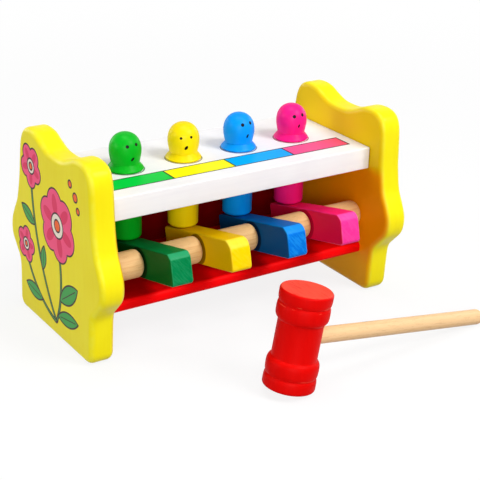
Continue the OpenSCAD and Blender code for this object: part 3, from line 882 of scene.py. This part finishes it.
def malletProfile():
    radius = mallet["radius"]
    half = mallet["half"]
    rim = mallet["rim"]
    groove = mallet["groove"]
    waist = radius - mallet["waist"]
    ridge = half - mallet["endLobe"]
    inner = mallet["innerLobe"]
    made = [(0, half), (radius - rim - mallet["rimFlat"], half)]
    made += arc((radius - rim, half - rim), rim, 90, 0, 8)
    made += [(radius - groove * s, ridge + mallet["endLobe"] * t) for t, s in mallet["endShares"]]
    made += [(radius - groove * s, ridge - inner * t) for t, s in mallet["innerShares"]]
    made += [(radius - waist * s, ridge - inner * t) for t, s in mallet["waistShares"]]
    return made + [(r, -h) for r, h in made[::-1]]


def wornAndSheenedHead(tree, place, colour):   # paint chips on the ridges, partly a painted highlight, and a striking face painted lighter as a sheen as well as wear, with brush marks
    wearAndSheen = mallet["wearAndSheen"]
    local = tree.add("ShaderNodeMapping", {"vector_type": "TEXTURE"}, {
        "Vector": place, "Location": malletPlace.translation, "Rotation": malletPlace.to_euler()})
    _, _, z = tree.split(local)
    height = abs(z) / mm
    ridge = abs(height - (mallet["half"] - mallet["endLobe"]))
    chips = tree.noise(tree.stretch(local, wearAndSheen["chips"]), 1.0, 4.0, 0.6)
    chips = tree.inside(chips, wearAndSheen["chipEdge"], wearAndSheen["chipSoft"])
    chipsAndHighlight = tree.inside(abs(ridge - wearAndSheen["reach"]), wearAndSheen["wide"], wearAndSheen["soft"]) * chips
    colour = tree.mix(chipsAndHighlight * wearAndSheen["share"], colour, paintTone(*wearAndSheen["ridge"]))
    sweep = tree.noise(tree.stretch(local, wearAndSheen["sweep"]), 1.0, 4.0, 0.7)
    swept = tree.inside(sweep, wearAndSheen["sweepEdge"], wearAndSheen["sweepSoft"])
    sheenAndScuffs = tree.mix(swept * wearAndSheen["share"], paintTone(*wearAndSheen["face"]), paintTone(*wearAndSheen["scuff"]))
    endFace = tree.inside(mallet["half"] - height, wearAndSheen["faceDeep"], wearAndSheen["faceSoft"])
    return tree.mix(endFace * wearAndSheen["faceShare"], colour, sheenAndScuffs)


def handleProfile():
    tip = mallet["tip"]
    rod = mallet["handle"]
    reach = mallet["reach"] - mallet["tipShy"]   # a hair inside the solid's box
    made = [(0, -mallet["inset"]), (rod, -mallet["inset"])]
    return made + arc((rod - tip, reach - tip), tip, 0, 90, 8) + [(0, reach)]


headPaint = paint("malletPaint", mallet["look"], wornAndSheenedHead)
head = turned("malletHead", malletProfile(), headPaint, malletPlace, mallet["sides"], mallet["crease"])
finishPiece(head, headPaint, "mallet", "mallet_head")
handleWood = bareWood("handleWood", {**woodLook, **mallet["handleLook"],
                                     "turn": (0, -lean, -math.radians(mallet["turn"]))})
handlePlace = malletPlace @ Matrix.Rotation(quarterTurn, 4, "Y")
handle = turned("malletHandle", handleProfile(), handleWood, handlePlace)
finishPiece(handle, handleWood, "mallet", "mallet_handle")
print("mallet")


# Floor, light and camera

studio = {"floorSize": 12, "ambient": 0.04, "floorBounce": 0.32, "floorSeen": 0.96, "floorKept": 0.85,
          "nearFloor": 0.25, "farFloor": 0.9, "aim": 0.05,
          "lamps": {"key": {"at": (0.55, -1.0, 1.15), "size": 0.7, "power": 16},
                    "topFill": {"at": (0.0, 0.0, 1.6), "size": 1.0, "power": 10.2},
                    "frontFill": {"at": (-0.7, -1.35, 0.42), "size": 0.7, "power": 10.8},
                    "leftFill": {"at": (-1.55, 0.35, 0.45), "size": 0.7, "power": 7.0},
                    "rightFill": {"at": (1.6, 0.3, 0.3), "size": 0.7, "power": 6},
                    "backFill": {"at": (-0.6, 1.55, 0.35), "size": 0.7, "power": 5.5}}}
view = {"at": (-377.282, -601.114, 344.252), "turn": -33.6184, "tilt": 23.2723, "roll": 1.5799,
        "lens": 94.2165, "sensor": 36, "near": 0.05, "far": 40}


def seenAsWhite(tree, cameraShare=None):   # camera, mirror and glass rays meet plain white
    camera = tree.add("ShaderNodeLightPath", out="Is Camera Ray")
    straight = camera * cameraShare if cameraShare else camera
    seen = straight.most(camera.beside("Is Glossy Ray")).most(camera.beside("Is Transmission Ray"))
    return camera, seen


def makeFloor():
    material, tree, place = surface("floorWhite")
    # The shadow is kept near the toy
    kept = tree.between(tree.length(place), studio["nearFloor"], studio["farFloor"])
    camera, seen = seenAsWhite(tree, kept * (1 - studio["floorKept"]) + studio["floorKept"])
    pale = [(tone, tone, tone, 1) for tone in (studio["floorBounce"], studio["floorSeen"])]
    matt = tree.add("ShaderNodeBsdfDiffuse", None, {"Color": tree.mix(camera, *pale)})
    glow = tree.add("ShaderNodeEmission", None, {"Color": (1, 1, 1, 1), "Strength": 1.0})
    blended = tree.add("ShaderNodeMixShader", None, {0: seen, 1: matt, 2: glow})
    tree.add("ShaderNodeOutputMaterial", None, {"Surface": blended})
    half = studio["floorSize"] / 2
    mesh = bpy.data.meshes.new("floor")
    corners = [(-half, -half, 0), (half, -half, 0), (half, half, 0), (-half, half, 0)]
    mesh.from_pydata(corners, [], [(0, 1, 2, 3)])
    mesh.materials.append(material)
    floor = bpy.data.objects.new("floor", mesh)
    bpy.context.scene.collection.objects.link(floor)


def makeWorld():
    world = bpy.data.worlds.new("studioWhite")
    bpy.context.scene.world = world
    world.use_nodes = True
    world.node_tree.nodes.clear()
    tree = Tree(world.node_tree)
    _, seen = seenAsWhite(tree)
    light = tree.add("ShaderNodeBackground", None, {"Color": (1, 1, 1, 1), "Strength": studio["ambient"]})
    white = tree.add("ShaderNodeBackground", None, {"Color": (1, 1, 1, 1), "Strength": 1.0})
    blended = tree.add("ShaderNodeMixShader", None, {0: seen, 1: light, 2: white})
    tree.add("ShaderNodeOutputWorld", None, {"Surface": blended})


def makeLamps():
    target = Vector((benchX, benchY, studio["aim"]))
    for name, setting in studio["lamps"].items():
        lamp = bpy.data.lights.new(name, "AREA")
        lamp.shape = "DISK"
        lamp.size = setting["size"]
        lamp.energy = setting["power"]
        holder = bpy.data.objects.new(name, lamp)
        holder.location = target + Vector(setting["at"])
        holder.rotation_euler = (target - holder.location).to_track_quat("-Z", "Y").to_euler()
        bpy.context.scene.collection.objects.link(holder)


def makeCamera():
    camera = bpy.data.objects.new("camera", bpy.data.cameras.new("camera"))
    camera.data.sensor_width = view["sensor"]
    camera.data.lens = view["lens"]
    camera.data.clip_start = view["near"]
    camera.data.clip_end = view["far"]
    camera.matrix_world = (Matrix.Translation(benchPlace @ Vector(view["at"]))
                           @ Matrix.Rotation(math.radians(view["turn"]), 4, "Z")
                           @ Matrix.Rotation(math.radians(90 - view["tilt"]), 4, "X")
                           @ Matrix.Rotation(math.radians(view["roll"]), 4, "Z"))
    bpy.context.scene.collection.objects.link(camera)
    bpy.context.scene.camera = camera


makeFloor()
makeWorld()
makeLamps()
makeCamera()
bpy.context.scene.view_settings.view_transform = "Standard"
print("studio")
